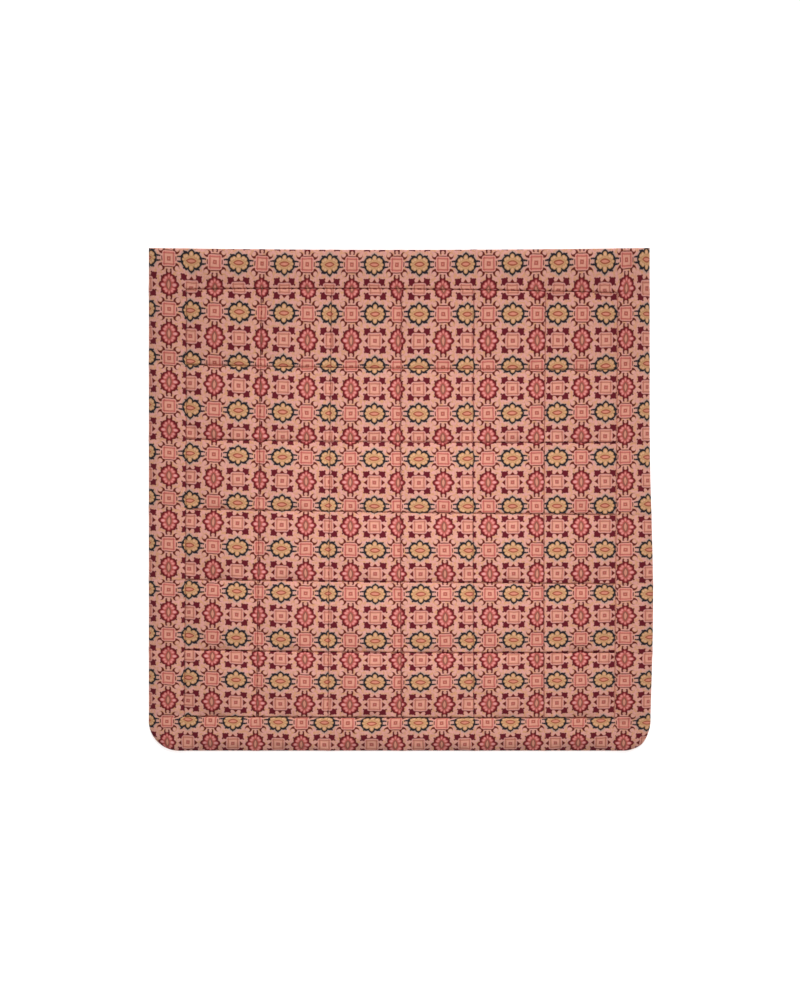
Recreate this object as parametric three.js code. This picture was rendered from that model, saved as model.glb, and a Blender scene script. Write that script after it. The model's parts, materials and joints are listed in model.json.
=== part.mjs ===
// A filled bed quilt of about 2.6 m by 2.6 m, lying flat on its back.
//
// Frame: millimetres, +Z up. The origin is the middle of the outline, at the height of the
// floor. +Y points to the head end, which has square corners. The foot end has round ones.
//
// The quilt is one cloth body: a printed front and a plain back, with filling between them,
// sewn through along a frame of seams and a six by six grid inside it. The filling stands up
// in each cell and in the loose border outside the frame, and the seams draw it down.

import * as THREE from 'three';

// Outline
const HALF_WIDTH = 1308;
const HALF_LENGTH = 1304;
const FOOT_CORNER_RADIUS = 158;
const HEAD_EDGE_DIP = 10; // the head edge is this much lower in its middle
const SIDE_STRAIGHT_INSET = 18; // the right side is this much further in where it doesn't bulge
const SIDE_BULGE_AT = -0.4; // where the right side bulges, as a share of the half length
const SIDE_BULGE_REACH = 0.7; // how far the bulge reaches from there, as a share as well

// Filling
const SEAM_TOP = 12; // height of the front cloth at a seam, and at the sewn edge
const SEAM_UNDER = 8; // height of the back cloth at a seam, so the seam is 4 mm thick
const PUFF = 17; // rise of the front cloth beside a seam
const PUFF_REACH = 30; // width of that rise
const CELL_DOME = 8; // further rise towards the middle of a cell
const BORDER_DOME = 6; // further rise along the middle of the border
const EDGE_ROLL = 62; // width over which the border rolls down to the edge

// Seams that run from the head to the foot, by their place at the head, half way and foot.
const LENGTHWISE_SEAMS = [
  { head: -1113, middle: -1116, foot: -1126 },
  { head: -721, middle: -737, foot: -750 },
  { head: -358, middle: -371, foot: -379 },
  { head: 5, middle: -3, foot: 5 },
  { head: 379, middle: 374, foot: 379 },
  { head: 753, middle: 742, foot: 742 },
  { head: 1124, middle: 1116, foot: 1105 },
];

// Seams that run across, by their place at the left, in the middle and at the right.
const CROSSWISE_SEAMS = [
  { left: -1125, middle: -1132, right: -1134 },
  { left: -776, middle: -795, right: -791 },
  { left: -415, middle: -429, right: -441 },
  { left: -47, middle: -68, right: -82 },
  { left: 316, middle: 297, right: 294 },
  { left: 702, middle: 679, right: 671 },
  { left: 1086, middle: 1091, right: 1064 },
];

// Where the surface is divided within a cell, as shares of the way from seam to seam, and
// within the border, as shares of the way from the sewn edge to the frame.
const CELL_STEPS = { front: [0, 0.035, 0.1, 0.5, 0.9, 0.965], back: [0, 0.1, 0.9] };
const BORDER_STEPS = { front: [0, 0.06, 0.2, 0.5, 0.8, 0.93], back: [0, 0.2, 0.8] };
const BANDS = LENGTHWISE_SEAMS.length + 1;

// A curve through three values, at -1, 0 and 1.
function through(start, middle, end, at) {
  const slope = (end - start) / 2;
  const bow = (end + start) / 2 - middle;
  return middle + slope * at + bow * at * at;
}

function rightSide(along) {
  const fromBulge = Math.min(1, Math.abs(along - SIDE_BULGE_AT) / SIDE_BULGE_REACH);
  return HALF_WIDTH - SIDE_STRAIGHT_INSET * (1 - Math.cos(Math.PI * fromBulge)) / 2;
}

function headEdge(across) {
  return HALF_LENGTH - HEAD_EDGE_DIP * (1 - across * across);
}

// Line 0 is the left side, 1 to 7 are the seams and 8 is the right side.
function lengthwiseLine(index, along) {
  if (index === 0) return -HALF_WIDTH;
  if (index === BANDS) return rightSide(along);
  const seam = LENGTHWISE_SEAMS[index - 1];
  return through(seam.foot, seam.middle, seam.head, along);
}

// Line 0 is the foot edge, 1 to 7 are the seams and 8 is the head edge.
function crosswiseLine(index, across) {
  if (index === 0) return -HALF_LENGTH;
  if (index === BANDS) return headEdge(across);
  const seam = CROSSWISE_SEAMS[index - 1];
  return through(seam.left, seam.middle, seam.right, across);
}

// A place on the quilt in bands: 2.5 is half way between line 2 and line 3.
function between(line, place, at) {
  const band = Math.min(Math.floor(place), BANDS - 1);
  return THREE.MathUtils.lerp(line(band, at), line(band + 1, at), place - band);
}

// The grid's square corner patch is drawn in to a quarter of a disc at the foot corners.
function roundFootCorner(point) {
  const centreX = HALF_WIDTH - FOOT_CORNER_RADIUS;
  const centreY = -HALF_LENGTH + FOOT_CORNER_RADIUS;
  const side = Math.sign(point.x);
  const out = (Math.abs(point.x) - centreX) / FOOT_CORNER_RADIUS;
  const down = (centreY - point.y) / FOOT_CORNER_RADIUS;
  if (out <= 0 || down <= 0) return;
  point.x = side * (centreX + FOOT_CORNER_RADIUS * out * Math.sqrt(1 - down * down / 2));
  point.y = centreY - FOOT_CORNER_RADIUS * down * Math.sqrt(1 - out * out / 2);
}

// Plan position of a place given in bands. The lines bow, so it is found in three rounds.
function planPoint(placeX, placeY) {
  const point = new THREE.Vector2();
  for (let round = 0; round < 3; round += 1) {
    point.x = between(lengthwiseLine, placeX, point.y / HALF_LENGTH);
    point.y = between(crosswiseLine, placeY, point.x / HALF_WIDTH);
  }
  return point;
}

// Rise beside a seam or an edge: a quarter of an ellipse, then level.
function shoulder(distance, reach) {
  const left = 1 - THREE.MathUtils.clamp(distance / reach, 0, 1);
  return Math.sqrt(1 - left * left);
}

function dome(share) {
  return 4 * share * (1 - share);
}

function inCell(place) {
  return place > 1 && place < BANDS - 1;
}

// Distances from a point to the lines on both sides of it, along one axis.
function toLines(line, place, at, position) {
  const band = Math.min(Math.floor(place), BANDS - 1);
  return { below: position - line(band, at), above: line(band + 1, at) - position };
}

// Height of the front cloth at a place given in bands.
function frontHeight(placeX, placeY) {
  const point = planPoint(placeX, placeY);
  const toX = toLines(lengthwiseLine, placeX, point.y / HALF_LENGTH, point.x);
  const toY = toLines(crosswiseLine, placeY, point.x / HALF_WIDTH, point.y);
  if (inCell(placeX) && inCell(placeY)) {
    const sides = shoulder(Math.min(toX.below, toX.above), PUFF_REACH);
    const ends = shoulder(Math.min(toY.below, toY.above), PUFF_REACH);
    return SEAM_TOP + PUFF * sides * ends + CELL_DOME * dome(placeX % 1) * dome(placeY % 1);
  }
  const edgeX = placeX <= 1 ? toX.below : toX.above;
  const edgeY = placeY <= 1 ? toY.below : toY.above;
  const frameX = placeX <= 1 ? toX.above : toX.below;
  const frameY = placeY <= 1 ? toY.above : toY.below;
  const outX = placeX < 1 || placeX > BANDS - 1;
  const outY = placeY < 1 || placeY > BANDS - 1;
  const fromFrame = Math.hypot(outX ? frameX : 0, outY ? frameY : 0);
  const roll = (outX ? shoulder(edgeX, EDGE_ROLL) : 1) * (outY ? shoulder(edgeY, EDGE_ROLL) : 1);
  const crown = Math.max(outX ? dome(placeX % 1) : 0, outY ? dome(placeY % 1) : 0);
  return SEAM_TOP + (PUFF + BORDER_DOME * crown) * roll * shoulder(fromFrame, PUFF_REACH);
}

// The back cloth lies on the floor and lifts to the seams and the sewn edge.
function backHeight(placeX, placeY) {
  const onFrameX = placeX === 1 || placeX === BANDS - 1;
  const onFrameY = placeY === 1 || placeY === BANDS - 1;
  const withinX = placeX >= 1 && placeX <= BANDS - 1;
  const withinY = placeY >= 1 && placeY <= BANDS - 1;
  const onEdge = placeX === 0 || placeX === BANDS || placeY === 0 || placeY === BANDS;
  const onFrame = (onFrameX && withinY) || (onFrameY && withinX);
  const onGrid = withinX && withinY && (Number.isInteger(placeX) || Number.isInteger(placeY));
  return onEdge || onFrame || onGrid ? SEAM_UNDER : 0;
}

// The places of the dividing lines of one face, in bands from 0 to 8.
function dividingPlaces(face) {
  const places = [];
  for (let band = 0; band < BANDS; band += 1) {
    if (band === 0) places.push(...BORDER_STEPS[face]);
    else if (band < BANDS - 1) places.push(...CELL_STEPS[face].map((step) => band + step));
    else places.push(...BORDER_STEPS[face].map((step) => BANDS - step).reverse());
  }
  // The last border's steps run from the frame outwards, so the frame's own line is added.
  places.push(BANDS - 1);
  return [...new Set(places)].sort((a, b) => a - b);
}

// One face's grid of points. Each gets its number in the list of all points.
function addFace(points, places, height) {
  return places.map((placeY) => places.map((placeX) => {
    const point = planPoint(placeX, placeY);
    roundFootCorner(point);
    points.push(point.x, point.y, height(placeX, placeY));
    return points.length / 3 - 1;
  }));
}

// Two triangles for each square of the grid. The diagonal points to the nearest corner, so
// that no triangle is flat where a foot corner is rounded.
function coverFace(triangles, grid, upwards) {
  const last = grid.length - 1;
  for (let row = 0; row < last; row += 1) {
    for (let column = 0; column < last; column += 1) {
      const a = grid[row][column];
      const b = grid[row][column + 1];
      const c = grid[row + 1][column + 1];
      const d = grid[row + 1][column];
      const rising = (row < last / 2) === (column < last / 2);
      const pair = rising ? [[a, b, c], [a, c, d]] : [[a, b, d], [b, c, d]];
      for (const [p, q, r] of pair) triangles.push(...(upwards ? [p, q, r] : [p, r, q]));
    }
  }
}

// The points of one face along its edge, once round, from the foot's left corner.
function rim(grid, places) {
  const last = places.length - 1;
  const walk = [];
  for (let i = 0; i < last; i += 1) walk.push({ at: places[i], id: grid[0][i] });
  for (let i = 0; i < last; i += 1) walk.push({ at: BANDS + places[i], id: grid[i][last] });
  for (let i = last; i > 0; i -= 1) walk.push({ at: 3 * BANDS - places[i], id: grid[last][i] });
  for (let i = last; i > 0; i -= 1) walk.push({ at: 4 * BANDS - places[i], id: grid[i][0] });
  return walk;
}

// The narrow side between the two faces. Every edge point of the back has one of the front
// above it, and the front has more of them in between.
function coverSide(triangles, front, back) {
  const frontAt = (i) => front[i % front.length];
  let upper = 0;
  back.forEach((point, i) => {
    const next = back[(i + 1) % back.length];
    const end = i + 1 < back.length ? next.at : 4 * BANDS;
    while (upper < front.length && front[upper].at < end) {
      triangles.push(point.id, frontAt(upper + 1).id, frontAt(upper).id);
      upper += 1;
    }
    triangles.push(point.id, next.id, frontAt(upper).id);
  });
}

function quiltGeometry() {
  const points = [];
  const triangles = [];
  const frontPlaces = dividingPlaces('front');
  const backPlaces = dividingPlaces('back');
  const front = addFace(points, frontPlaces, frontHeight);
  const back = addFace(points, backPlaces, backHeight);
  coverFace(triangles, front, true);
  coverFace(triangles, back, false);
  coverSide(triangles, rim(front, frontPlaces), rim(back, backPlaces));
  const geometry = new THREE.BufferGeometry();
  geometry.setAttribute('position', new THREE.Float32BufferAttribute(points, 3));
  geometry.setIndex(triangles);
  geometry.computeVertexNormals();
  return geometry;
}

// Cotton print: salmon ground with crimson, navy and cream motifs, seen as one colour.
const printedCotton = new THREE.MeshStandardMaterial({
  color: '#a9655a',
  roughness: 0.9,
  metalness: 0,
});

const quilt = new THREE.Mesh(quiltGeometry(), printedCotton);
quilt.name = 'quilt';

const part = new THREE.Group();
part.add(quilt);

export default part;
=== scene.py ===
# %% [markdown]
# A filled bed quilt lies flat on a pale floor, seen from straight above. It is 2.6 m square.
# The printed front cloth and the plain back cloth are sewn together through the filling,
# along a frame and a six by six grid. The filling lifts the front between the seams.
#
# The frame is the plain solid that the checks used. Everything here is made in its place.

# %% Load the frame
import json
import math

import bpy
import numpy as np
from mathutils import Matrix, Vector, noise

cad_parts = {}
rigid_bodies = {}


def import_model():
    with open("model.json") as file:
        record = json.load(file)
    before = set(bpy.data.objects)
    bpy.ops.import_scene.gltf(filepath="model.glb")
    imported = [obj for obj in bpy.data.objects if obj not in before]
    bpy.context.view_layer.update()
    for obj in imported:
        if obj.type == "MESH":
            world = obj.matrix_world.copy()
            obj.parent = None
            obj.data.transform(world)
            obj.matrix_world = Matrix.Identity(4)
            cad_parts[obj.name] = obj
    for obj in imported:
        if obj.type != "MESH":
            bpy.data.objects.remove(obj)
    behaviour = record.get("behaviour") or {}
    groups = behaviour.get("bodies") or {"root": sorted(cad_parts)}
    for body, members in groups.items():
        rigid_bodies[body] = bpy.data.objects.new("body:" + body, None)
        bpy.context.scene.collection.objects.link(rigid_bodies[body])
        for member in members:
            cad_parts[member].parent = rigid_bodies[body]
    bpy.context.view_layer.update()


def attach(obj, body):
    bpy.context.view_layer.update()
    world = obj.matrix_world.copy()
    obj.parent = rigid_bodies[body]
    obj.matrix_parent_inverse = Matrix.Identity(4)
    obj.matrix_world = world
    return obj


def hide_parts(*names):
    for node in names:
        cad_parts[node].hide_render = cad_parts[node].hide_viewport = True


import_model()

# %% [markdown]
# The camera hangs straight above the quilt, with the head end at the top of the picture. A
# long lens far away shows the outline without the pull of perspective. The picture is 800 by
# 1000 pixels, and the quilt's outline takes 504 of the 800, a little off the middle.

# %% Camera
MM = 0.001
PICTURE_SIZE = (800, 1000)
QUILT_MIDDLE = (401.0, 499.25)  # in the picture, in pixels from its top left corner
PIXEL = 5.19 * MM  # size of a pixel at the quilt
LENS_MM = 110.0
SENSOR_MM = 36.0


def make_camera():
    data = bpy.data.cameras.new("above")
    data.lens = LENS_MM
    data.sensor_width = SENSOR_MM
    height = PICTURE_SIZE[1] * PIXEL * LENS_MM / SENSOR_MM
    data.clip_end = 3 * height
    camera = bpy.data.objects.new("above", data)
    off_right = QUILT_MIDDLE[0] - PICTURE_SIZE[0] / 2
    off_down = QUILT_MIDDLE[1] - PICTURE_SIZE[1] / 2
    camera.location = (-off_right * PIXEL, off_down * PIXEL, height)
    bpy.context.scene.collection.objects.link(camera)
    bpy.context.scene.camera = camera
    return camera


camera = make_camera()
print("camera height:", round(camera.location.z, 2), "m")

# %% [markdown]
# The quilt's plan is the frame's plan again: the sides, the seams and the rounded corners at
# the foot, in millimetres. Each seam bows a little, so it is a curve through three places.
# The last column says where the seam lies on the printed cloth, counted in motifs, because
# the print has to meet every seam at the right place.

# %% Plan of the quilt
HALF_WIDTH, HALF_LENGTH = 1308.0, 1304.0
FOOT_CORNER_RADIUS = 158.0
HEAD_EDGE_DIP = 10.0
SIDE_INSET, BULGE_AT, BULGE_REACH = 18.0, -0.4, 0.7

# head, middle and foot in mm, and the motif count from the left
LENGTHWISE_SEAMS = [
    (-1113, -1116, -1126, -0.24),
    (-721, -737, -750, 2.95),
    (-358, -371, -379, 6.06),
    (5, -3, 5, 9.19),
    (379, 374, 379, 12.33),
    (753, 742, 742, 15.405),
    (1124, 1116, 1105, 18.555),
]
SIDE_MOTIFS = (-1.91, 20.17)

# left, middle and right in mm, and the motif count from the head
CROSSWISE_SEAMS = [
    (-1125, -1132, -1134, 19.77),
    (-776, -795, -791, 16.67),
    (-415, -429, -441, 13.50),
    (-47, -68, -82, 10.41),
    (316, 297, 294, 7.30),
    (702, 679, 671, 4.165),
    (1086, 1091, 1064, 1.07),
]
END_MOTIFS = (21.42, -0.53)

BANDS = len(LENGTHWISE_SEAMS) + 1


def through(start, middle, end, at):
    """A curve through three values, at -1, 0 and 1."""
    return middle + (end - start) / 2 * at + ((end + start) / 2 - middle) * at * at


def lengthwise_line(index, along):
    """Across the quilt, where line 0 to 8 lies: the left side, the seams, the right side."""
    if index == 0:
        return np.full_like(along, -HALF_WIDTH)
    if index == BANDS:
        from_bulge = np.minimum(1, np.abs(along - BULGE_AT) / BULGE_REACH)
        return HALF_WIDTH - SIDE_INSET * (1 - np.cos(math.pi * from_bulge)) / 2
    head, middle, foot, _ = LENGTHWISE_SEAMS[index - 1]
    return through(foot, middle, head, along)


def crosswise_line(index, across):
    """Along the quilt, where line 0 to 8 lies: the foot edge, the seams, the head edge."""
    if index == 0:
        return np.full_like(across, -HALF_LENGTH)
    if index == BANDS:
        return HALF_LENGTH - HEAD_EDGE_DIP * (1 - across * across)
    left, middle, right, _ = CROSSWISE_SEAMS[index - 1]
    return through(left, middle, right, across)


# %% [markdown]
# The front cloth is one grid of points. Cloth bends sharply beside a seam and hardly at all
# in the middle of a cell, so the lines of the grid are close together at the seams and
# spread out between them. A place is counted in bands: 2.5 is half way between the second
# and the third seam.

# %% Grid of the front cloth
CELL_HALF_STEPS = 20
BORDER_HALF_STEPS = 12
CROWDING = 2.1  # more crowds the lines further towards the seams
PLAN_ROUNDS = 4  # lines bow both ways, so their crossings settle in a few rounds


def crowded_steps(half_steps):
    """Shares from 0 to 1, closest together at both ends."""
    rising = 0.5 * (np.arange(half_steps + 1) / half_steps) ** CROWDING
    return np.concatenate([rising, 1 - rising[-2::-1]])


def band_places():
    """The place of every grid line, in bands, and the band that each belongs to."""
    places = [0.0]
    for band in range(BANDS):
        half = BORDER_HALF_STEPS if band in (0, BANDS - 1) else CELL_HALF_STEPS
        places.extend(band + crowded_steps(half)[1:])
    return np.array(places)


def between_lines(line, places, at):
    """Positions for an array of places, at the same array of positions along the lines."""
    band = np.minimum(places.astype(int), BANDS - 1)
    lines = np.stack([line(index, at) for index in range(BANDS + 1)])
    below = np.take_along_axis(lines, band[None], 0)[0]
    above = np.take_along_axis(lines, band[None] + 1, 0)[0]
    return below, above, below + (above - below) * (places - band)


def plan_points(places_x, places_y):
    """Plan positions in mm and the lines on both sides of each point."""
    x, y = np.zeros_like(places_x), np.zeros_like(places_y)
    for _ in range(PLAN_ROUNDS):
        left, right, x = between_lines(lengthwise_line, places_x, y / HALF_LENGTH)
        low, high, y = between_lines(crosswise_line, places_y, x / HALF_WIDTH)
    return x, y, (x - left, right - x), (y - low, high - y)


def round_foot_corners(x, y):
    """Draws the square corners of the grid in to quarter discs at the foot."""
    centre_x, centre_y = HALF_WIDTH - FOOT_CORNER_RADIUS, FOOT_CORNER_RADIUS - HALF_LENGTH
    out = (np.abs(x) - centre_x) / FOOT_CORNER_RADIUS
    down = (centre_y - y) / FOOT_CORNER_RADIUS
    corner = (out > 0) & (down > 0)
    disc_x = np.sign(x) * (centre_x + FOOT_CORNER_RADIUS * out * np.sqrt(np.abs(1 - down**2 / 2)))
    disc_y = centre_y - FOOT_CORNER_RADIUS * down * np.sqrt(np.abs(1 - out**2 / 2))
    return np.where(corner, disc_x, x), np.where(corner, disc_y, y)


places = band_places()
PLACE_X, PLACE_Y = np.meshgrid(places, places)
print("grid lines each way:", len(places))

# %% [markdown]
# A seam is a narrow bed for the thread, wider across the quilt than along it. Beside it the
# cloth rises steeply, as a quarter of an oval, and then swells gently over the filling. The
# border outside the frame is one long roll that falls to the sewn edge. Filling is never
# quite even, so slow noise makes each cell a little different.

# %% Height of the front cloth
SEAM_TOP, SEAM_UNDER, EDGE = 16.0, 9.0, 10.0
LENGTHWISE_BED, CROSSWISE_BED = 1.3, 3.2  # flat cloth on each side of a seam
PUFF, PUFF_REACH, SQUARENESS = 11.5, 4.5, 2.2
CELL_DOME, BORDER_DOME = 9.5, 7.0
EDGE_ROLL = 62.0
LUMP_MM, LUMP_SIZE_MM, LUMP_SEED = 1.6, 170.0, 3.7


def shoulder(distance, reach, squareness=2.0):
    """A quarter of an oval from 0 to 1; more squareness makes its first rise steeper."""
    left = 1 - np.clip(distance / reach, 0, 1)
    return (1 - left**squareness) ** (1 / squareness)


def dome(share):
    return 4 * share * (1 - share)


def slow_noise(x, y, size, seed):
    """Smooth noise from about -1 to 1 at plan positions in mm."""
    flat = [noise.noise(Vector((a / size, b / size, seed))) for a, b in zip(x.flat, y.flat)]
    return np.array(flat).reshape(x.shape)


def front_heights():
    x, y, (to_left, to_right), (to_low, to_high) = plan_points(PLACE_X, PLACE_Y)
    share_x, share_y = PLACE_X % 1, PLACE_Y % 1
    out_x = (PLACE_X < 1) | (PLACE_X > BANDS - 1)
    out_y = (PLACE_Y < 1) | (PLACE_Y > BANDS - 1)
    lumps = slow_noise(x, y, LUMP_SIZE_MM, LUMP_SEED)

    sides = shoulder(np.minimum(to_left, to_right) - LENGTHWISE_BED, PUFF_REACH, SQUARENESS)
    ends = shoulder(np.minimum(to_low, to_high) - CROSSWISE_BED, PUFF_REACH, SQUARENESS)
    cell = PUFF * sides * ends + (CELL_DOME + LUMP_MM * lumps) * dome(share_x) * dome(share_y)

    edge_x, frame_x = np.where(PLACE_X < 1, (to_left, to_right), (to_right, to_left))
    edge_y, frame_y = np.where(PLACE_Y < 1, (to_low, to_high), (to_high, to_low))
    from_frame = np.hypot(np.where(out_x, frame_x, 0), np.where(out_y, frame_y, 0))
    roll = np.where(out_x, shoulder(edge_x, EDGE_ROLL), 1)
    roll = roll * np.where(out_y, shoulder(edge_y, EDGE_ROLL), 1)
    crown = np.maximum(np.where(out_x, dome(share_x), 0), np.where(out_y, dome(share_y), 0))
    border = PUFF + (BORDER_DOME + LUMP_MM * lumps) * crown
    bed = np.where(out_y, CROSSWISE_BED, LENGTHWISE_BED)
    border = border * shoulder(from_frame - bed, PUFF_REACH, SQUARENESS)
    border = EDGE + (SEAM_TOP - EDGE + border) * roll

    x, y = round_foot_corners(x, y)
    return x, y, np.where(out_x | out_y, border, SEAM_TOP + cell)


front_x, front_y, front_z = front_heights()
print("front cloth: from", round(front_z.min(), 1), "to", round(front_z.max(), 1), "mm high")

# %% [markdown]
# The cloth was flat when it was printed, and more of it goes into a cell than the cell's
# plan shows. So the place of each point on the flat cloth is counted along the cloth's own
# surface. The print then crowds together beside a seam, as it does on the real quilt. In the
# border, past the end of a seam, the gathers spread out and the print is even.

# %% Place of each point on the flat cloth
MOTIF_MM = 124.0  # from one motif to the next on the flat cloth


def along_cloth(x, z):
    """Shares of the way along the cloth, from the first point of a section to its last."""
    steps = np.hypot(np.diff(x), np.diff(z))
    length = np.concatenate([[0], np.cumsum(steps)])
    return length / length[-1]


def motif_counts(lines, run, height):
    """The motif count of every grid line, from its share of each band's cloth."""
    counts = np.zeros(len(places))
    for band in range(BANDS):
        inside = (places >= band) & (places <= band + 1)
        share = along_cloth(run[inside], height[inside])
        counts[inside] = lines[band] + (lines[band + 1] - lines[band]) * share
    return counts


lengthwise_counts = [SIDE_MOTIFS[0], *[seam[3] for seam in LENGTHWISE_SEAMS], SIDE_MOTIFS[1]]
crosswise_counts = [END_MOTIFS[0], *[seam[3] for seam in CROSSWISE_SEAMS], END_MOTIFS[1]]
section = np.argmin(np.abs(places - (BANDS / 2 + 0.5)))  # through the middle of a cell
count_x = motif_counts(lengthwise_counts, front_x[section], front_z[section])
count_y = motif_counts(crosswise_counts, front_y[:, section], front_z[:, section])
even_x = np.interp(places, range(BANDS + 1), lengthwise_counts)
even_y = np.interp(places, range(BANDS + 1), crosswise_counts)
motifs = (count_x[-1] - count_x[0], count_y[0] - count_y[-1])
print("motifs across and down:", [round(float(count), 2) for count in motifs])

# %% [markdown]
# Sewing draws the cloth in a little along each seam too, which gathers it in small puckers.
# Blender's cloth simulation finds them: the seams and the edge are pinned, the cloth's rest
# length is a little longer than the seams, and a slight pressure stands for the filling.

# %% Puckers by cloth simulation
CLOTH_EXCESS = 0.012
PRESSURE = 0.2
SIM_FRAMES = 12


def front_mesh(name):
    rows = len(places)
    points = np.stack([front_x, front_y, front_z], -1).reshape(-1, 3) * MM
    mesh = bpy.data.meshes.new(name)
    index = np.arange(rows * rows).reshape(rows, rows)
    faces = np.stack([index[:-1, :-1], index[:-1, 1:], index[1:, 1:], index[1:, :-1]], -1)
    mesh.from_pydata(points.tolist(), [], faces.reshape(-1, 4).tolist())
    return mesh


def pinned_points():
    """True where the cloth is sewn: the edge, the frame and the grid inside the frame."""
    edge = (PLACE_X == 0) | (PLACE_X == BANDS) | (PLACE_Y == 0) | (PLACE_Y == BANDS)
    inside = (PLACE_X >= 1) & (PLACE_X <= BANDS - 1) & (PLACE_Y >= 1) & (PLACE_Y <= BANDS - 1)
    on_seam = (PLACE_X % 1 == 0) | (PLACE_Y % 1 == 0)
    return edge | (inside & on_seam)


def simulate_front():
    cloth = bpy.data.objects.new("front_cloth", front_mesh("front_cloth"))
    bpy.context.scene.collection.objects.link(cloth)
    pins = cloth.vertex_groups.new(name="sewn")
    pins.add(np.flatnonzero(pinned_points().ravel()).tolist(), 1.0, "REPLACE")
    modifier = cloth.modifiers.new("Cloth", "CLOTH")
    settings = modifier.settings
    settings.quality = 5
    settings.mass = 0.15
    settings.tension_stiffness = settings.compression_stiffness = 25
    settings.shear_stiffness = 8
    settings.bending_stiffness = 5
    settings.shrink_min = -CLOTH_EXCESS
    settings.vertex_group_mass = "sewn"
    settings.use_pressure = True
    settings.uniform_pressure_force = PRESSURE
    settings.effector_weights.gravity = 0.0
    modifier.collision_settings.use_collision = False
    scene = bpy.context.scene
    modifier.point_cache.frame_start = 1
    modifier.point_cache.frame_end = SIM_FRAMES
    for number in range(1, SIM_FRAMES + 1):
        scene.frame_set(number)
    settled = cloth.evaluated_get(bpy.context.evaluated_depsgraph_get())
    moved = np.empty(len(cloth.data.vertices) * 3)
    settled.data.vertices.foreach_get("co", moved)
    scene.frame_set(1)
    bpy.data.objects.remove(cloth)
    return moved.reshape(*front_x.shape, 3) / MM


start = np.stack([front_x, front_y, front_z], -1)
settled = simulate_front()
print("the cloth moved up to", round(float(np.abs(settled - start).max()), 1), "mm")

# %% [markdown]
# The simulation blows the cells up more than the filling does, and leaves a little jitter
# from one point to the next. So its movement is smoothed, made smaller, and held under a
# few millimetres. What stays is the soft gathering along the seams.

# %% Keep the puckers, drop the swelling
SMOOTHING_ROUNDS = 2
MOVE_SHARE = 0.75
MOST_MOVE_MM = 7.0


def smoothed(move):
    """Each point moves part of the way to the mean of its four neighbours."""
    for _ in range(SMOOTHING_ROUNDS):
        near = np.pad(move, ((1, 1), (1, 1), (0, 0)), "edge")
        mean = (near[:-2, 1:-1] + near[2:, 1:-1] + near[1:-1, :-2] + near[1:-1, 2:]) / 4
        move = (move + mean) / 2
    return move


free = ~pinned_points()[..., None]
gathered = smoothed(settled - start) * MOVE_SHARE * free
front = start + MOST_MOVE_MM * np.tanh(gathered / MOST_MOVE_MM)
print("front cloth after gathering: up to", round(float(front[..., 2].max()), 1), "mm high")

# %% [markdown]
# The back cloth lies flat on the floor and only lifts to the seams and to the sewn edge, so
# every third line of the grid or so is enough for it. Front and back share the points of the
# sewn edge, as two cloths do that are sewn together and turned out. That closes the body.

# %% The whole body as one closed mesh
BACK_CELL_LINES = (0, 3, 6, 12, 20, 28, 34, 37)
BACK_BORDER_LINES = (0, 3, 6, 12, 18, 21)
UNDER_REACH = 26.0
UNDER_ROLL = 30.0
BAKE_SHARE = 0.9  # of the baked picture's width and height, for the front


def back_lines():
    """Numbers of the front's grid lines that the back uses as well."""
    lines, first = [], 0
    for band in range(BANDS):
        border = band in (0, BANDS - 1)
        lines.extend(first + step for step in (BACK_BORDER_LINES if border else BACK_CELL_LINES))
        first += 2 * (BORDER_HALF_STEPS if border else CELL_HALF_STEPS)
    return np.array([*lines, first])


def back_heights():
    _, _, (to_left, to_right), (to_low, to_high) = plan_points(PLACE_X, PLACE_Y)
    inside = (PLACE_X >= 1) & (PLACE_X <= BANDS - 1) & (PLACE_Y >= 1) & (PLACE_Y <= BANDS - 1)
    out_x = np.maximum(np.maximum(1 - PLACE_X, PLACE_X - BANDS + 1), 0)
    out_y = np.maximum(np.maximum(1 - PLACE_Y, PLACE_Y - BANDS + 1), 0)
    to_seam = np.minimum(np.minimum(to_left, to_right), np.minimum(to_low, to_high))
    frame_x = np.where(PLACE_X < 1, to_right, to_left) * (out_x > 0)
    frame_y = np.where(PLACE_Y < 1, to_high, to_low) * (out_y > 0)
    to_seam = np.where(inside, to_seam, np.hypot(frame_x, frame_y))
    edge_x = np.where(PLACE_X < 1, to_left, np.where(PLACE_X > BANDS - 1, to_right, UNDER_ROLL))
    edge_y = np.where(PLACE_Y < 1, to_low, np.where(PLACE_Y > BANDS - 1, to_high, UNDER_ROLL))
    lift = SEAM_UNDER * (1 - shoulder(to_seam, UNDER_REACH))
    roll = EDGE * (1 - shoulder(np.minimum(edge_x, edge_y), UNDER_ROLL))
    return np.maximum(lift, roll)


def edge_chain(index, a, b):
    """The front's edge points from grid point a to grid point b, which may be a's neighbour."""
    (row_a, column_a), (row_b, column_b) = a, b
    count = max(abs(row_b - row_a), abs(column_b - column_a))
    rows = np.linspace(row_a, row_b, count + 1).astype(int)
    columns = np.linspace(column_a, column_b, count + 1).astype(int)
    return index[rows, columns].tolist()


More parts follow.
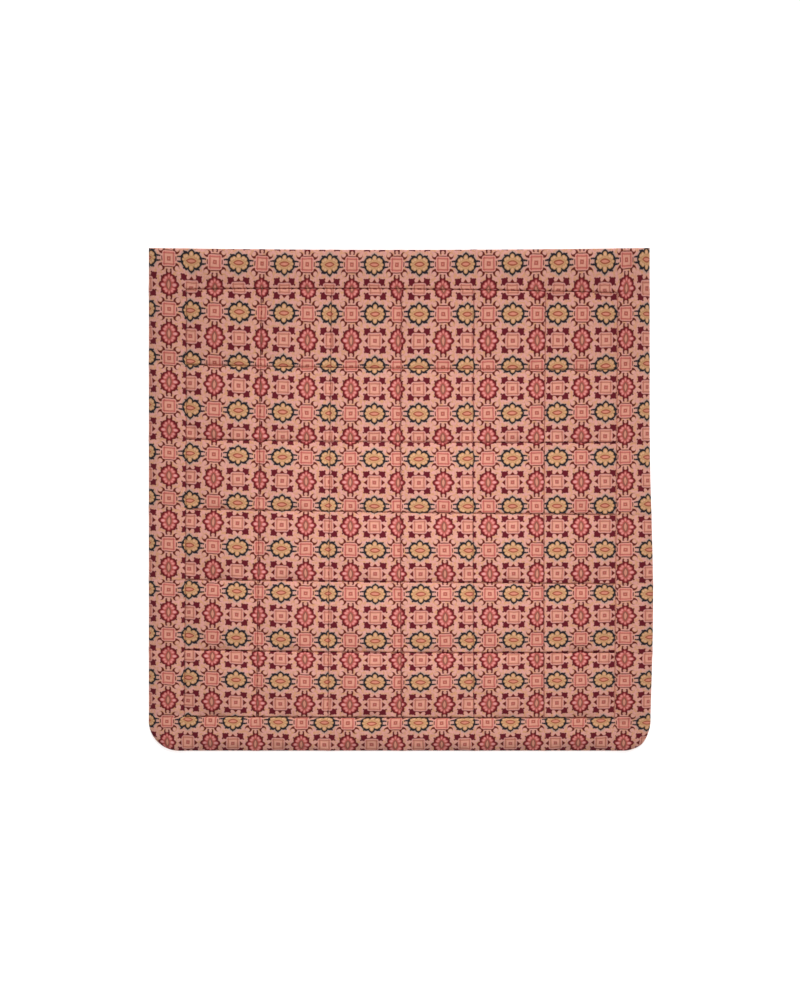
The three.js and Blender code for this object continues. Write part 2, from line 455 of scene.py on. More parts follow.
def make_body():
    size = len(places)
    index = np.arange(size * size).reshape(size, size)
    points = [front.reshape(-1, 3)]
    lines = back_lines()
    last = size - 1
    heights = back_heights()
    back_index = {}
    number = size * size
    under = []
    for row in lines:
        for column in lines:
            if row in (0, last) or column in (0, last):
                back_index[row, column] = index[row, column]
                continue
            under.append((front_x[row, column], front_y[row, column], heights[row, column]))
            back_index[row, column] = number
            number += 1
    points.append(np.array(under))
    faces = np.stack([index[:-1, :-1], index[:-1, 1:], index[1:, 1:], index[1:, :-1]], -1)
    faces = faces.reshape(-1, 4).tolist()
    fronts = len(faces)
    for row, next_row in zip(lines[:-1], lines[1:]):
        for column, next_column in zip(lines[:-1], lines[1:]):
            corners = [(row, column), (next_row, column),
                       (next_row, next_column), (row, next_column)]
            face = []
            for a, b in zip(corners, corners[1:] + corners[:1]):
                on_edge = any(a[k] == b[k] and a[k] in (0, last) for k in (0, 1))
                face.extend(edge_chain(index, a, b)[:-1] if on_edge else [back_index[a]])
            faces.append(face)
    mesh = bpy.data.meshes.new("quilt_body")
    mesh.from_pydata((np.concatenate(points) * MM).tolist(), [], faces)
    return mesh, fronts


body_mesh, front_faces = make_body()
print("body:", len(body_mesh.vertices), "points,", len(body_mesh.polygons), "faces")

# %% [markdown]
# Two maps go on the body. The first counts motifs, so the print follows the cloth. The foot
# corners are cut through the print, so there the count follows the plan. Sewing has also
# moved the print a little: its rows sag, one place is pushed to the right, and the borders
# have slipped under the seams of the frame. The second map is for baking the finish into a
# picture: the front takes most of it, the plain back a strip.

# %% Maps on the body
ROW_SAG_MM = (-13.0, 11.0, -8.0)  # left, middle and right
ROW_SKEW_MM = 12.0
PUSHED_AT, PUSHED_MM, PUSHED_REACH = (260.0, -570.0), 13.0, 560.0
SPREAD_MM = 12.0  # from the frame to where the gathers end
HEAD_SLIP_MM, FOOT_SLIP_MM = 4.0, 13.0  # to the left, in the borders past the frame
SLIP_REACH = 7.0  # the slip hides in the seam
SIDE_STRETCH_MM = 8.0  # towards the head and the foot, in the borders beside the frame
STRIP_SHARE, STRIP_FILL, BAKE_MARGIN = 0.8, 0.95, 0.05  # of what the front leaves free


def print_drift(x, y):
    """How far the print lies to the right of its place and below it, in mm."""
    across = x / HALF_WIDTH
    down = through(*ROW_SAG_MM, across) + ROW_SKEW_MM * (across**3 - across)
    from_push = np.hypot(x - PUSHED_AT[0], y - PUSHED_AT[1]) / PUSHED_REACH
    return PUSHED_MM * np.exp(-from_push**2), down


def beyond_frame(place, to_low, to_high, reach):
    """From 0 at the frame to 1 at some reach outside it."""
    outside = np.where(place < 1, to_high, 0) + np.where(place > BANDS - 1, to_low, 0)
    share = np.clip(outside / reach, 0, 1)
    return share * share * (3 - 2 * share)


def add_maps(mesh, fronts):
    square_x, square_y, to_sides, to_ends = plan_points(PLACE_X, PLACE_Y)
    right, down = print_drift(square_x, square_y)
    past_ends = beyond_frame(PLACE_Y, *to_ends, SPREAD_MM)
    past_sides = beyond_frame(PLACE_X, *to_sides, SPREAD_MM)
    slip = np.where(square_y > 0, HEAD_SLIP_MM, FOOT_SLIP_MM) * (1 - (square_x / HALF_WIDTH)**4)
    right = right - slip * beyond_frame(PLACE_Y, *to_ends, SLIP_REACH)
    down = down - SIDE_STRETCH_MM * past_sides * square_y / HALF_LENGTH
    cloth_x = count_x[None, :] + (even_x - count_x)[None, :] * past_ends
    cloth_y = count_y[:, None] + (even_y - count_y)[:, None] * past_sides
    cloth_x = cloth_x + (front_x - square_x - right) / MOTIF_MM
    cloth_y = cloth_y - (front_y - square_y + down) / MOTIF_MM
    bake_x = (cloth_x - count_x[0]) / (count_x[-1] - count_x[0]) * BAKE_SHARE
    bake_y = (cloth_y - count_y[0]) / (count_y[-1] - count_y[0]) * BAKE_SHARE
    place = np.empty(len(mesh.vertices) * 3)
    mesh.vertices.foreach_get("co", place)
    place = place.reshape(-1, 3) / MM
    corners = np.empty(len(mesh.loops), int)
    mesh.loops.foreach_get("vertex_index", corners)
    front_corners = 4 * fronts
    motif_map, bake_map = np.empty((len(corners), 2)), np.empty((len(corners), 2))
    on_front = corners[:front_corners]
    motif_map[:front_corners] = np.stack([cloth_x.ravel()[on_front], cloth_y.ravel()[on_front]], -1)
    bake_map[:front_corners] = np.stack([bake_x.ravel()[on_front], bake_y.ravel()[on_front]], -1)
    flat = place[corners[front_corners:], :2]
    motif_map[front_corners:] = flat / MOTIF_MM
    spare = 1 - BAKE_SHARE
    strip = spare * STRIP_SHARE
    flat_share = flat / (2 * HALF_WIDTH, 2 * HALF_LENGTH) + 0.5
    bake_map[front_corners:, 0] = 1 - strip + strip * STRIP_FILL * flat_share[:, 0]
    bake_map[front_corners:, 1] = BAKE_SHARE * flat_share[:, 1]
    bake_map[:front_corners] += spare * BAKE_MARGIN
    bake_map[front_corners:, 1] += spare * BAKE_MARGIN
    for name, values in (("cloth", motif_map), ("OFBake", bake_map)):
        layer = mesh.uv_layers.new(name=name)
        layer.data.foreach_set("uv", values.ravel())
    mesh.uv_layers["cloth"].active_render = True


add_maps(body_mesh, front_faces)
body_mesh.shade_smooth()
quilt = bpy.data.objects.new("quilt_body", body_mesh)
bpy.context.scene.collection.objects.link(quilt)
print("maps:", [layer.name for layer in body_mesh.uv_layers])

# %% [markdown]
# The front is printed cotton. Its colours are given as sRGB hex values, as a dyer's card
# would, and one function turns them to the linear values that the sockets take. A second
# small function adds a node with its settings, values and links, and gives its output.

# %% Colours and nodes
def ink(hex_code):
    """An sRGB hex value as a linear colour."""
    channels = [int(hex_code[start:start + 2], 16) / 255 for start in (1, 3, 5)]
    linear = [c / 12.92 if c <= 0.04045 else ((c + 0.055) / 1.055) ** 2.4 for c in channels]
    return (*linear, 1.0)


def add(tree, kind, *inputs, **settings):
    """Adds a node, fills its inputs in their order, and gives its first output if any."""
    node = tree.nodes.new(kind)
    for name, value in settings.items():
        setattr(node, name, value)
    sockets = [socket for socket in node.inputs if socket.enabled]
    for socket, value in zip(sockets, inputs):
        if isinstance(value, bpy.types.NodeSocket):
            tree.links.new(value, socket)
        elif value is not None:
            socket.default_value = value
    return next((socket for socket in node.outputs if socket.enabled), None)


print("salmon ground, linear:", [round(channel, 3) for channel in ink("#e8a999")[:3]])

# %% [markdown]
# The print is a plain oriental tile repeat of four motifs, all with the same 124 mm between
# them: a navy flower, a hooked square, a square with leaves and a crimson flower. Each is the
# same mirrored left to right and top to bottom, so a quarter of a motif is enough to draw.
# Folding the count of motifs like a fan lays every quarter on one. The four motifs are the
# corners of the folded quarter tile, 24 print units apart, so one unit is about 5 mm.
#
# A shape is drawn by its distance: less than zero inside, more than zero outside. The
# smaller of two distances joins two shapes, the larger one keeps what they share.

# %% Shapes of the print
TILE = 24.0  # print units from one motif to the next
BLEED = 0.3  # print units that the ink spreads into the cotton


def oval(tree, at, middle, half):
    stretch = (1 / half[0], 1 / half[1], 0)
    shift = (-middle[0] / half[0], -middle[1] / half[1], 0)
    from_middle = add(tree, "ShaderNodeVectorMath", at, stretch, shift, operation="MULTIPLY_ADD")
    radius = add(tree, "ShaderNodeVectorMath", from_middle, operation="LENGTH")
    size = min(half)
    return add(tree, "ShaderNodeMath", radius, size, -size, operation="MULTIPLY_ADD")


def joined(tree, shapes, softness=0.0):
    """One distance for several shapes, with their inner corners filled if soft."""
    whole = shapes[0]
    for shape in shapes[1:]:
        whole = add(tree, "ShaderNodeMath", whole, shape, softness, operation="SMOOTH_MIN")
    return whole


def grown(tree, shape, by):
    return add(tree, "ShaderNodeMath", shape, by, operation="SUBTRACT")


def straight_cut(tree, at, direction, limit):
    """Keeps what is less than the limit along a direction."""
    along = add(tree, "ShaderNodeVectorMath", at, (*direction, 0), operation="DOT_PRODUCT")
    return add(tree, "ShaderNodeMath", along, limit, operation="SUBTRACT")


def shared(tree, one, other):
    return add(tree, "ShaderNodeMath", one, other, operation="MAXIMUM")


def without(tree, shape, removed):
    outside = add(tree, "ShaderNodeMath", removed, -1.0, operation="MULTIPLY")
    return shared(tree, shape, outside)


def horns(tree, at, outer, inner):
    """A crescent: a disc with a second disc cut out, each given as its middle and radius."""
    whole = oval(tree, at, outer[0], (outer[1], outer[1]))
    hollow = oval(tree, at, inner[0], (inner[1], inner[1]))
    return without(tree, whole, hollow)


def almond(tree, at, length, width, lengthwise):
    """A pointed oval about the motif's middle, as two arcs that meet at its tips."""
    radius = (length * length + width * width) / (2 * width)
    offset = width - radius
    middle = (offset, 0) if lengthwise else (0, offset)
    return oval(tree, at, middle, (radius, radius))


print("one print unit:", round(MOTIF_MM / TILE, 2), "mm")

# %% [markdown]
# Ink goes on the cloth in layers, as in screen printing: each screen adds one colour on top
# of the ones before. Squares and petals are shaded from the middle to the edge, so their ink
# comes from a ramp over the distance.

# %% Inks over each other
def dye(tree, cloth, shape, colour):
    """The cloth's colour, with another colour where the shape's distance is below zero."""
    inked = add(tree, "ShaderNodeMapRange", shape, BLEED, -BLEED, 0.0, 1.0)
    return add(tree, "ShaderNodeMix", inked, cloth, colour, data_type="RGBA")


def shaded(tree, distance, start, end, stops):
    """Inks that turn softly one into the next between two distances."""
    share = add(tree, "ShaderNodeMapRange", distance, start, end, 0.0, 1.0)
    colours = add(tree, "ShaderNodeValToRGB", share)
    elements = colours.node.color_ramp.elements
    while len(elements) < len(stops):
        elements.new(0.5)
    for element, (at, code) in zip(elements, stops):
        element.position = (at - start) / (end - start)
        element.color = ink(code)
    return colours


def rings(tree, distance, widths):
    """Inks in bands outwards from the middle, each with the distance where it ends."""
    end = widths[-1][0]
    stops, begin = [], 0.0
    for outer, code in widths:
        stops.extend([(begin + BLEED / 2, code), (outer - BLEED / 2, code)])
        begin = outer
    return shaded(tree, distance, 0.0, end, stops)


print("ink spreads", round(BLEED * MOTIF_MM / TILE, 1), "mm into the cotton")

# %% [markdown]
# The ground is salmon, mottled with tan and pale pink in spots about 15 mm wide, because the
# dye takes unevenly. A slight wobble of two or three millimetres keeps the repeat from
# looking ruled.

# %% Ground of the print and the folded tile
MOTTLE_MM = 16.0
WOBBLE_UNITS = 0.5
WOBBLE_MM = 45.0


def folded_tile(tree):
    """The place on the folded quarter tile, from the map that counts motifs."""
    counted = add(tree, "ShaderNodeUVMap", uv_map="cloth")
    waver = add(tree, "ShaderNodeTexNoise", counted, MOTIF_MM / WOBBLE_MM, 1.0,
                noise_dimensions="2D").node.outputs["Color"]
    reach = WOBBLE_UNITS / TILE
    waver = add(tree, "ShaderNodeVectorMath", waver, (2 * reach, 2 * reach, 0), (-reach, -reach, 0),
                operation="MULTIPLY_ADD")
    moved = add(tree, "ShaderNodeVectorMath", counted, waver, operation="ADD")
    folded = []
    for direction in ((TILE, 0, 0), (0, TILE, 0)):
        along = add(tree, "ShaderNodeVectorMath", moved, direction, operation="DOT_PRODUCT")
        folded.append(add(tree, "ShaderNodeMath", along, TILE, operation="PINGPONG"))
    return counted, add(tree, "ShaderNodeCombineXYZ", *folded)


def from_corner(tree, tile, corner):
    """The place seen from one of the tile's corners, where a motif has its middle."""
    offset = add(tree, "ShaderNodeVectorMath", tile, (*corner, 0), operation="SUBTRACT")
    return add(tree, "ShaderNodeVectorMath", offset, operation="ABSOLUTE")


def ground(tree, counted):
    mottle = add(tree, "ShaderNodeTexNoise", counted, MOTIF_MM / MOTTLE_MM, 2.0, 0.6,
                 noise_dimensions="2D")
    return shaded(tree, mottle, 0.3, 0.7,
                  [(0.35, "#e1a27b"), (0.45, "#e1a189"), (0.55, "#e8a999"), (0.65, "#eaa69e")])


# %% [markdown]
# The navy flower lies on its side: rounded cream petals with tan edges, in a dark rim that
# follows them and ends in points. A hook curls round a small ball at either end. The
# flower's heart is an almond.

# %% Navy flower
def navy_flower(tree, at, cloth):
    petals = joined(tree, [
        oval(tree, at, (0, 6.0), (2.2, 2.6)),
        oval(tree, at, (4.8, 4.1), (2.1, 2.0)),
        oval(tree, at, (6.9, 2.9), (1.7, 2.0)),
        oval(tree, at, (8.1, 0), (1.7, 1.5)),
    ])
    rim = joined(tree, [
        grown(tree, petals, 1.5),
        oval(tree, at, (0, 9.2), (1.0, 1.9)),
        oval(tree, at, (5.7, 6.9), (2.5, 1.5)),
        oval(tree, at, (8.1, 7.6), (0.7, 1.0)),
        oval(tree, at, (9.8, 2.6), (1.2, 1.7)),
        oval(tree, at, (12.0, 2.4), (2.2, 0.9)),
        oval(tree, at, (14.3, 2.1), (0.8, 0.8)),
    ], 0.6)
    cloth = dye(tree, cloth, grown(tree, petals, 2.9), ink("#cfa495"))
    cloth = dye(tree, cloth, rim, ink("#231f27"))
    cloth = dye(tree, cloth, oval(tree, at, (12.9, 0), (1.6, 1.3)), ink("#dfa697"))
    cloth = dye(tree, cloth, oval(tree, at, (0, 0), (7.6, 5.0)), ink("#d9a276"))
    petal_ink = shaded(tree, petals, -2.4, 0.2,
                       [(-2.2, "#ecb092"), (-1.2, "#e6b088"), (-0.1, "#c4905f")])
    cloth = dye(tree, cloth, petals, petal_ink)
    cloth = dye(tree, cloth, almond(tree, at, 5.6, 2.5, False), ink("#aa573e"))
    return dye(tree, cloth, almond(tree, at, 4.0, 1.2, False), ink("#e2917a"))


# %% [markdown]
# The hooked square has a rounded pink border, two pairs of crossed lines and a small square
# at its heart. Two horns curl outwards from each corner round a pale ball, and a bar lies
# along the middle of each side.

# %% Hooked square
SQUARE_HALF, SQUARE_POWER = 7.1, 7.0  # a higher power makes the corners sharper
LINES_AT, LINE_HALF, LINES_END = 4.8, 0.35, 6.1
FAR = 60.0  # a half length that makes an oval a straight strip


def rounded_square(tree, at):
    """How far out a place is in a square with round corners."""
    powers = []
    for direction in ((1, 0, 0), (0, 1, 0)):
        along = add(tree, "ShaderNodeVectorMath", at, direction, operation="DOT_PRODUCT")
        powers.append(add(tree, "ShaderNodeMath", along, SQUARE_POWER, operation="POWER"))
    both = add(tree, "ShaderNodeMath", *powers, operation="ADD")
    return add(tree, "ShaderNodeMath", both, 1 / SQUARE_POWER, operation="POWER")


def sharp_square(tree, at):
    """How far out a place is in a square with sharp corners."""
    across, along = (straight_cut(tree, at, direction, 0.0) for direction in ((1, 0), (0, 1)))
    return shared(tree, across, along)


def framed_square(tree, at, cloth, border, inside, line):
    """The square that two of the motifs share, in inks of their own."""
    out = rounded_square(tree, at)
    cloth = dye(tree, cloth, grown(tree, out, SQUARE_HALF), rings(tree, out, border))
    heart = sharp_square(tree, at)
    cloth = dye(tree, cloth, grown(tree, heart, LINES_AT), rings(tree, heart, inside))
    upright = oval(tree, at, (LINES_AT, 0), (LINE_HALF, FAR))
    level = oval(tree, at, (0, LINES_AT), (FAR, LINE_HALF))
    lines = shared(tree, joined(tree, [upright, level]), grown(tree, heart, LINES_END))
    return dye(tree, cloth, lines, line)


def hooked_square(tree, at, cloth):
    curl = horns(tree, at, ((7.7, 7.8), 3.7), ((8.9, 9.0), 2.4))
    bar = shared(tree, straight_cut(tree, at, (1, 0), 3.9), oval(tree, at, (0, 7.3), (FAR, 0.7)))
    side = shared(tree, straight_cut(tree, at, (0, 1), 2.2), oval(tree, at, (7.4, 0), (0.7, FAR)))
    cloth = dye(tree, cloth, joined(tree, [curl, bar, side]), ink("#69231b"))
    cloth = dye(tree, cloth, oval(tree, at, (8.6, 8.7), (1.3, 1.3)), ink("#e8ac9c"))
    border = [(5.0, "#cf7b6c"), (6.2, "#dd8577"), (7.3, "#e9a192")]
    inside = [
        (0.7, "#dc8b78"), (1.9, "#bb6154"), (2.5, "#e39d88"),
        (3.4, "#f0a692"), (5.0, "#e5a088"),
    ]
    return framed_square(tree, at, cloth, border, inside, ink("#b9524c"))


# %% [markdown]
# The crimson flower stands upright, with petals in rose on a darker heart and a burgundy rim
# with pointed shoulders. Two strokes of the rim hold a ball at its top and at its foot.

# %% Crimson flower
def crimson_flower(tree, at, cloth):
    petals = joined(tree, [
        oval(tree, at, (5.8, 0), (2.6, 1.8)),
        oval(tree, at, (4.1, 4.1), (2.0, 1.6)),
        oval(tree, at, (2.9, 6.2), (1.6, 1.7)),
        oval(tree, at, (0, 7.8), (1.2, 1.9)),
    ])
    rim = joined(tree, [
        grown(tree, petals, 1.7),
        oval(tree, at, (9.4, 0), (1.5, 1.1)),
        oval(tree, at, (6.8, 5.2), (1.4, 2.6)),
        oval(tree, at, (7.9, 7.6), (0.8, 0.8)),
        oval(tree, at, (4.6, 7.8), (2.0, 1.5)),
        oval(tree, at, (2.3, 11.4), (0.9, 2.9)),
        oval(tree, at, (2.0, 14.0), (0.9, 0.6)),
    ], 0.8)
    rim_ink = shaded(tree, petals, 0.0, 2.0,
                     [(0.3, "#8e2b32"), (1.0, "#741d21"), (1.8, "#601716")])
    cloth = dye(tree, cloth, rim, rim_ink)
    cloth = dye(tree, cloth, oval(tree, at, (0, 12.8), (1.4, 1.6)), ink("#dfa08c"))
    cloth = dye(tree, cloth, oval(tree, at, (0, 0), (5.4, 7.4)), ink("#bb584f"))
    petal_ink = shaded(tree, petals, -1.8, 0.2,
                       [(-1.7, "#f3a39d"), (-0.9, "#e88f88"), (-0.1, "#cd6b62")])
    cloth = dye(tree, cloth, petals, petal_ink)
    cloth = dye(tree, cloth, oval(tree, at, (6.1, 0), (1.7, 1.0)), ink("#f1a5a2"))
    cloth = dye(tree, cloth, almond(tree, at, 5.6, 2.7, True), ink("#96594b"))
    return dye(tree, cloth, almond(tree, at, 3.9, 1.3, True), ink("#df947d"))


# %% [markdown]
# The last square has a plum leaf on each corner and a small triangle on each side, with pale
# buds between them.

# %% Square with leaves
def triangle(tree, at, tip, base, half_base, upright):
    """A pointed tooth that stands on a side of the square."""
    rise = tip - base
    steep = math.hypot(half_base, rise)
    along, out = rise / steep, half_base / steep
    direction = (along, out) if upright else (out, along)
    foot = (0, -1) if upright else (-1, 0)
    slanted = straight_cut(tree, at, direction, tip * half_base / steep)
    return shared(tree, slanted, straight_cut(tree, at, foot, -base))


def leaf_square(tree, at, cloth):
    leaf = joined(tree, [
        oval(tree, at, (7.7, 7.9), (3.2, 3.3)),
        oval(tree, at, (5.4, 10.9), (0.9, 0.9)),
        oval(tree, at, (10.3, 10.3), (1.0, 1.0)),
        oval(tree, at, (10.8, 5.4), (0.9, 0.9)),
    ], 1.0)
    hem = shared(tree, grown(tree, rounded_square(tree, at), 7.9),
                 straight_cut(tree, at, (0, -1), -5.0))
    hem = shared(tree, hem, straight_cut(tree, at, (1, 0), 5.0))
    teeth = joined(tree, [
        triangle(tree, at, 10.6, 7.0, 3.0, True),
        triangle(tree, at, 10.6, 6.9, 3.2, False),
        hem,
    ])
    for place, size in (((2.9, 9.8), (1.5, 1.5)), ((9.5, 3.0), (1.6, 1.5))):
        cloth = dye(tree, cloth, oval(tree, at, place, size), ink("#e8a798"))
    cloth = dye(tree, cloth, teeth, ink("#6a1c18"))
    cloth = dye(tree, cloth, leaf, ink("#6a1623"))
    border = [(5.0, "#d68a78"), (6.2, "#dd9480"), (7.3, "#e5a196")]
    inside = [
        (0.7, "#cf7c70"), (1.9, "#bb6558"), (2.5, "#e6a28f"),
        (3.4, "#f2a894"), (5.0, "#e8a48b"),
    ]
    return framed_square(tree, at, cloth, border, inside, ink("#b45f52"))


# %% [markdown]
# Plain-woven cotton with a matt finish: rough, with a faint sheen from the fibre ends where
# the light grazes it. Its threads are about 0.4 mm apart, too fine to show here, so the weave
# is drawn at 3 mm, with slubs, the thick places in the yarn, 25 mm long.

# %% Printed cotton
WEAVE_MM = 3.0
SLUB_MM = (25.0, 4.0)
WEAVE_DEPTH_MM = 0.25
SLUB_SHADE = (0.93, 1.07)


def woven(tree):
    """Height of the weave: threads over and under, thicker at the slubs."""
    place = add(tree, "ShaderNodeTexCoord").node.outputs["Object"]
    turns = 2 * math.pi / (WEAVE_MM * MM)
    waves = []
    for direction in ((turns, 0, 0), (0, turns, 0)):
        along = add(tree, "ShaderNodeVectorMath", place, direction, operation="DOT_PRODUCT")
        waves.append(add(tree, "ShaderNodeMath", along, operation="SINE"))
    weave = add(tree, "ShaderNodeMath", *waves, operation="MULTIPLY")
    slubs = []
    for size in (SLUB_MM, SLUB_MM[::-1]):
        stretch = (1 / (size[0] * MM), 1 / (size[1] * MM), 0)
        drawn = add(tree, "ShaderNodeVectorMath", place, stretch, operation="MULTIPLY")
        slubs.append(add(tree, "ShaderNodeTexNoise", drawn, 1.0, 1.0, noise_dimensions="2D"))
    slub = add(tree, "ShaderNodeMath", *slubs, operation="ADD")
    return slub, add(tree, "ShaderNodeMath", weave, slub, operation="ADD")


def cotton(name, roughness, sheen):
    """A matt cotton finish on a shader of its own, and its tree."""
    material = bpy.data.materials.new(name)
    material.use_nodes = True
    tree = material.node_tree
    shader = tree.nodes["Principled BSDF"]
    shader.inputs["Roughness"].default_value = roughness
    shader.inputs["Sheen Weight"].default_value = sheen
    shader.inputs["Sheen Roughness"].default_value = 0.5
    shader.inputs["Specular IOR Level"].default_value = 0.2
    slub, height = woven(tree)
    bump = add(tree, "ShaderNodeBump", 0.6, WEAVE_DEPTH_MM * MM, None, height)
    tree.links.new(bump, shader.inputs["Normal"])
    return material, tree, shader, slub


def dress(tree, shader, slub, colour):
    """Puts a colour on the shader, a little uneven where the yarn is thick or thin."""
    uneven = add(tree, "ShaderNodeMapRange", slub, 0.6, 1.4, *SLUB_SHADE)
    colour = add(tree, "ShaderNodeHueSaturation", None, None, uneven, None, colour)
    tree.links.new(colour, shader.inputs["Base Color"])


def make_printed_cotton():
    material, tree, shader, slub = cotton("woven_printed_cotton", 0.85, 0.08)
    counted, tile = folded_tile(tree)
    cloth = ground(tree, counted)
    cloth = leaf_square(tree, from_corner(tree, tile, (0, TILE)), cloth)
    cloth = hooked_square(tree, from_corner(tree, tile, (TILE, 0)), cloth)
    cloth = crimson_flower(tree, from_corner(tree, tile, (TILE, TILE)), cloth)
    dress(tree, shader, slub, navy_flower(tree, tile, cloth))
    return material


printed_cotton = make_printed_cotton()
body_mesh.materials.append(printed_cotton)
print("printed cotton:", len(printed_cotton.node_tree.nodes), "nodes")

# %% [markdown]
# The back is the same cotton without a print, dyed a dusty salmon that goes with the front.
# The picture doesn't show it. It is a second material on the same body, for the faces that
# come after the front's.

# %% Plain back cloth
def make_plain_cotton():
    material, tree, shader, slub = cotton("woven_plain_cotton", 0.9, 0.1)
    dress(tree, shader, slub, ink("#c98f7c"))
    return material


plain_cotton = make_plain_cotton()
body_mesh.materials.append(plain_cotton)
cloth_of_face = np.zeros(len(body_mesh.polygons), dtype=np.int32)
cloth_of_face[front_faces:] = 1
body_mesh.polygons.foreach_set("material_index", cloth_of_face)
print("plain cotton on", int(cloth_of_face.sum()), "faces")

# %% [markdown]
# The stitches hold front and back together along the seams. A stitch comes up through the
# cloth, lies on it for about 3 mm and goes down again. Here each is 4.8 mm long and 6 mm from
# the next, and the thread is 1.8 mm thick: coarser than real ones, so that they show.
#
# Each seam starts as a chain of points from the cloth's grid. The chains share no points,
# because a curve would stop where two of them met.

# %% Lines of the seams
on_seam = np.flatnonzero(np.isin(places, range(1, BANDS)))
frame_start, frame_end = on_seam[0], on_seam[-1] + 1


def seam_mesh(name, height):
    """The seams of one cloth as chains of points, at the cloth's height there."""
    lengthwise = [front[frame_start:frame_end, column] for column in on_seam]
    crosswise = [front[row, frame_start:frame_end] for row in on_seam]
    points, edges = [], []
    for chain in lengthwise + crosswise:
        first = len(points)
        points.extend((x * MM, y * MM, height * MM) for x, y, _ in chain)
        edges.extend((number, number + 1) for number in range(first, len(points) - 1))
    mesh = bpy.data.meshes.new(name)
    mesh.from_pydata(points, edges, [])
    return mesh


front_seams = seam_mesh("front_seams", SEAM_TOP)
back_seams = seam_mesh("back_seams", SEAM_UNDER)
print("seams:", 2 * len(on_seam), "of", frame_end - frame_start, "points each")

# %% [markdown]
# Geometry Nodes lay the stitches. Each chain becomes a curve, the curve is cut into even
# steps, and one bent piece of thread goes on each step, turned along the seam. The thread is
# a bow with four flat sides, because thousands of them have to stay light. Their lengths
# differ a little, as in any sewing.

# %% Nodes that lay stitches
BOW_STEPS, THREAD_SIDES = 3, 4
BOW_ENDS, BOW_HANDLE = -0.5, 2.5  # in bows, which puts the thread's top one bow high
SHORTEST, LONGEST, STITCH_SEED = 0.85, 1.1, 4
STITCH_INPUTS = {
    "Seams": "NodeSocketGeometry",
    "Spacing": "NodeSocketFloat",
    "Stitch length": "NodeSocketFloat",
    "Thread radius": "NodeSocketFloat",
    "Bow": "NodeSocketFloat",
    "Thread": "NodeSocketMaterial",
}


def stitching_nodes():
    tree = bpy.data.node_groups.new("stitching", "GeometryNodeTree")
    for name, kind in STITCH_INPUTS.items():
        tree.interface.new_socket(name, in_out="INPUT", socket_type=kind)
    tree.interface.new_socket("Stitches", in_out="OUTPUT", socket_type="NodeSocketGeometry")
    given = add(tree, "NodeGroupInput").node.outputs

    curves = add(tree, "GeometryNodeMeshToCurve", given["Seams"])
    steps = add(tree, "GeometryNodeResampleCurve", curves, None, given["Spacing"], mode="LENGTH")
    heading = add(tree, "GeometryNodeInputTangent")
    turn = add(tree, "FunctionNodeAlignRotationToVector", None, None, heading,
               axis="X", pivot_axis="Z")
    uneven = add(tree, "FunctionNodeRandomValue", (SHORTEST, 1, 1), (LONGEST, 1, 1), None,
                 STITCH_SEED, data_type="FLOAT_VECTOR")

    ends = []
    for side in (-0.5, 0.5):
        reach = add(tree, "ShaderNodeMath", given["Stitch length"], side, operation="MULTIPLY")
        sunk = add(tree, "ShaderNodeMath", given["Bow"], BOW_ENDS, operation="MULTIPLY")
        ends.append(add(tree, "ShaderNodeCombineXYZ", reach, 0.0, sunk))
    top = add(tree, "ShaderNodeMath", given["Bow"], BOW_HANDLE, operation="MULTIPLY")
    top = add(tree, "ShaderNodeCombineXYZ", 0.0, 0.0, top)
    bow = add(tree, "GeometryNodeCurveQuadraticBezier", BOW_STEPS, ends[0], top, ends[1])
    section = add(tree, "GeometryNodeCurvePrimitiveCircle", THREAD_SIDES, given["Thread radius"])
    thread = add(tree, "GeometryNodeCurveToMesh", bow, section, None, True)
    laid = add(tree, "GeometryNodeInstanceOnPoints", steps, None, thread, None, None, turn, uneven)
    real = add(tree, "GeometryNodeRealizeInstances", laid)
    add(tree, "NodeGroupOutput", add(tree, "GeometryNodeSetMaterial", real, None, given["Thread"]))
    return tree


stitching = stitching_nodes()
print("stitching:", len(stitching.nodes), "nodes")

# %% [markdown]
# The thread is spun polyester, two plies twisted round each other. Its dark brown is partly
# its own colour and partly painted shade: it stands for the shadow in each seam's crease.
# The twist shows as slanted bands of light and shade, painted into the thread's colour as
# well as set in a bump. The real bands are 0.5 mm apart, and these are 1.5 mm, drawn coarser
# so that they show. The same nodes serve the front and the back, where the bow hangs down.

# %% Quilting stitches
STITCH_SPACING_MM, STITCH_MM, THREAD_MM, BOW_MM = 6.0, 4.8, 1.8, 0.6
TWIST_MM, TWIST_DEPTH_MM = 1.5, 0.1


def make_thread():
    material = bpy.data.materials.new("spun_polyester_thread")
    material.use_nodes = True
    tree = material.node_tree
    shader = tree.nodes["Principled BSDF"]
    shader.inputs["Roughness"].default_value = 0.55
    place = add(tree, "ShaderNodeTexCoord").node.outputs["Object"]
    turns = 2 * math.pi / (TWIST_MM * MM)
    along = add(tree, "ShaderNodeVectorMath", place, (turns, turns, turns), operation="DOT_PRODUCT")
    twist = add(tree, "ShaderNodeMath", along, operation="SINE")
    shade = add(tree, "ShaderNodeMapRange", twist, -1.0, 1.0, 0.0, 1.0)
    # Painted shade: the dark browns stand for the shadow in the seam's crease, and they alternate
    # with the twist as painted light and shade on the plies.
    colour = add(tree, "ShaderNodeMix", shade, ink("#3f1f1c"), ink("#52302b"), data_type="RGBA")
    tree.links.new(colour, shader.inputs["Base Color"])
    bump = add(tree, "ShaderNodeBump", 0.5, TWIST_DEPTH_MM * MM, None, twist)
    tree.links.new(bump, shader.inputs["Normal"])
    return material


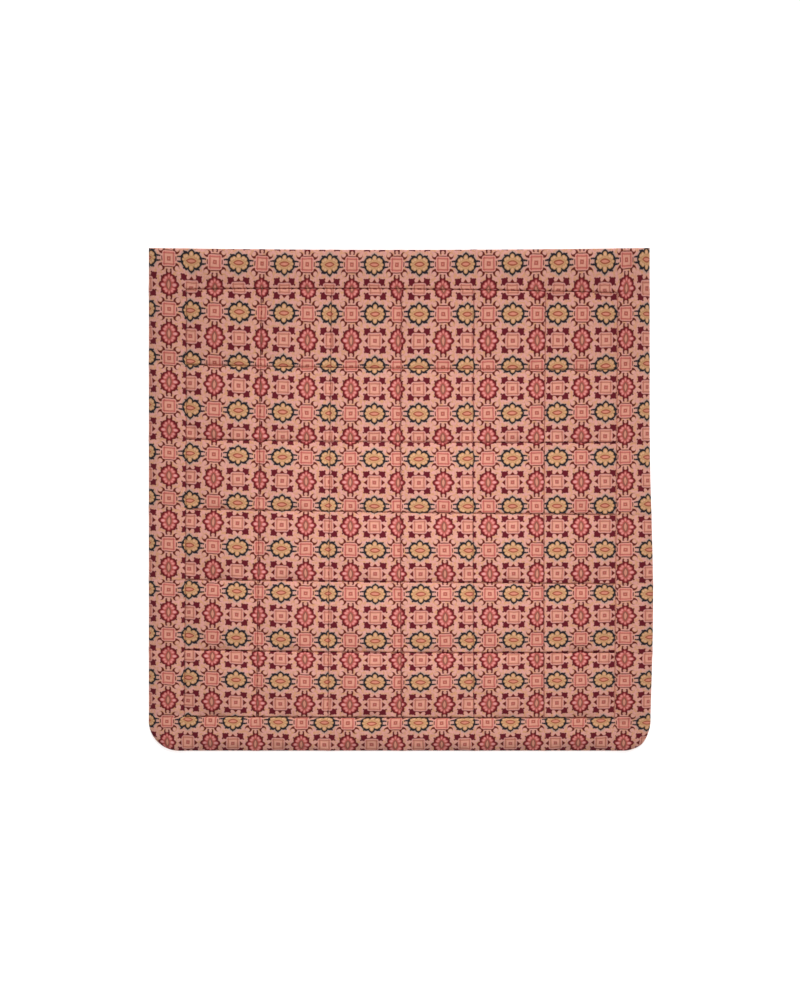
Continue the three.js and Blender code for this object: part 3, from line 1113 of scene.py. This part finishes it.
def lay_stitches(name, seams, bow_mm, thread):
    piece = bpy.data.objects.new(name, seams)
    bpy.context.scene.collection.objects.link(piece)
    modifier = piece.modifiers.new("stitching", "NODES")
    modifier.node_group = stitching
    given = {
        "Spacing": STITCH_SPACING_MM * MM,
        "Stitch length": STITCH_MM * MM,
        "Thread radius": THREAD_MM / 2 * MM,
        "Bow": bow_mm * MM,
        "Thread": thread,
    }
    for socket in stitching.interface.items_tree:
        if socket.name in given:
            modifier[socket.identifier] = given[socket.name]
    laid = piece.evaluated_get(bpy.context.evaluated_depsgraph_get())
    mesh = bpy.data.meshes.new_from_object(laid)
    piece.modifiers.remove(modifier)
    piece.data = mesh
    mesh.materials.clear()  # drops the empty slot that the bare curves bring
    mesh.materials.append(thread)
    mesh.shade_smooth()
    return piece


thread = make_thread()
front_stitches = lay_stitches("front_stitches", front_seams, BOW_MM, thread)
back_stitches = lay_stitches("back_stitches", back_seams, -BOW_MM, thread)
for piece in (front_stitches, back_stitches):
    print(piece.name, len(piece.data.polygons), "faces", len(piece.data.materials), "material")

# %% [markdown]
# The floor is a wide sheet of white studio paper. It glows a little, so that it stays white
# under a light that is right for the quilt.

# %% Floor
FLOOR_HALF = 20.0


def make_floor():
    mesh = bpy.data.meshes.new("floor")
    corners = [(x * FLOOR_HALF, y * FLOOR_HALF, 0) for x, y in ((-1, -1), (1, -1), (1, 1), (-1, 1))]
    mesh.from_pydata(corners, [], [(0, 1, 2, 3)])
    paper = bpy.data.materials.new("studio_paper")
    paper.use_nodes = True
    shader = paper.node_tree.nodes["Principled BSDF"]
    shader.inputs["Base Color"].default_value = ink("#d8d8d8")
    shader.inputs["Roughness"].default_value = 0.9
    shader.inputs["Emission Color"].default_value = ink("#ffffff")
    shader.inputs["Emission Strength"].default_value = 0.75
    mesh.materials.append(paper)
    floor = bpy.data.objects.new("floor", mesh)
    bpy.context.scene.collection.objects.link(floor)
    return floor


floor = make_floor()
print("floor:", [round(side, 1) for side in floor.dimensions])

# %% [markdown]
# Soft daylight comes in from the head end, a little from the right, so the crosswise seams
# are darker than the lengthwise ones. A square softbox hangs close above the quilt, which
# leaves the border darker than the middle, as in the picture. The rest is light from pale
# walls.

# %% Light
def add_light(name, kind, **settings):
    data = bpy.data.lights.new(name, kind)
    for setting, value in settings.items():
        setattr(data, setting, value)
    light = bpy.data.objects.new(name, data)
    bpy.context.scene.collection.objects.link(light)
    light.visible_camera = False
    return light


daylight = add_light("daylight", "SUN", energy=1.66, angle=math.radians(8))
daylight.rotation_euler = (math.radians(-45), 0, math.radians(-12))
softbox = add_light("softbox", "AREA", energy=10.5, shape="SQUARE", size=1.9)
softbox.location = (0.1, -0.05, 1.15)

room = bpy.data.worlds.new("pale_room")
room.use_nodes = True
room.node_tree.nodes["Background"].inputs["Color"].default_value = ink("#ffffff")
room.node_tree.nodes["Background"].inputs["Strength"].default_value = 0.24
bpy.context.scene.world = room
bpy.context.scene.view_settings.view_transform = "Standard"
print("lights:", daylight.name, softbox.name, room.name)

# %% [markdown]
# Last, each piece goes into the one body of the frame, and the padded body stands in for the
# plain solid, which is hidden.

# %% Hand over to the frame
for piece in (quilt, front_stitches, back_stitches):
    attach(piece, "root")
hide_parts("quilt")
